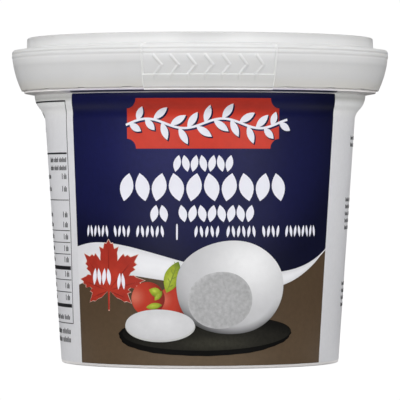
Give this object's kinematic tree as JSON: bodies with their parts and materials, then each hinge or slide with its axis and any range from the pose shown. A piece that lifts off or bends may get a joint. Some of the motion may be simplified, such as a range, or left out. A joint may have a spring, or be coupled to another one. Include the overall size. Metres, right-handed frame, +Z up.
{
  "type": "mozzarella tub",
  "caption": "Round tapered plastic tub filled with mozzarella in brine, shut by an overhanging push-on lid with a tear-off tab in its skirt.",
  "frame": {"origin": "middle of the base, on the surface the tub stands on", "axes": "+Z up along the tub's axis, the printed front and the lid's tear-off tab face -Y, +X to the right seen from the front"},
  "size_m": [0.0952, 0.0952, 0.0817],
  "materials": {
    "tub_plastic": "injection-moulded opaque white polypropylene, satin",
    "lid_plastic": "injection-moulded milky polypropylene, slightly translucent, soft gloss",
    "printed_film": "printed in-mould film, soft gloss with a fine orange-peel"
  },
  "bodies": {
    "root": {"tub": "tub_plastic", "lid": "lid_plastic", "tear_tab": "lid_plastic"}
  },
  "joints": []
}
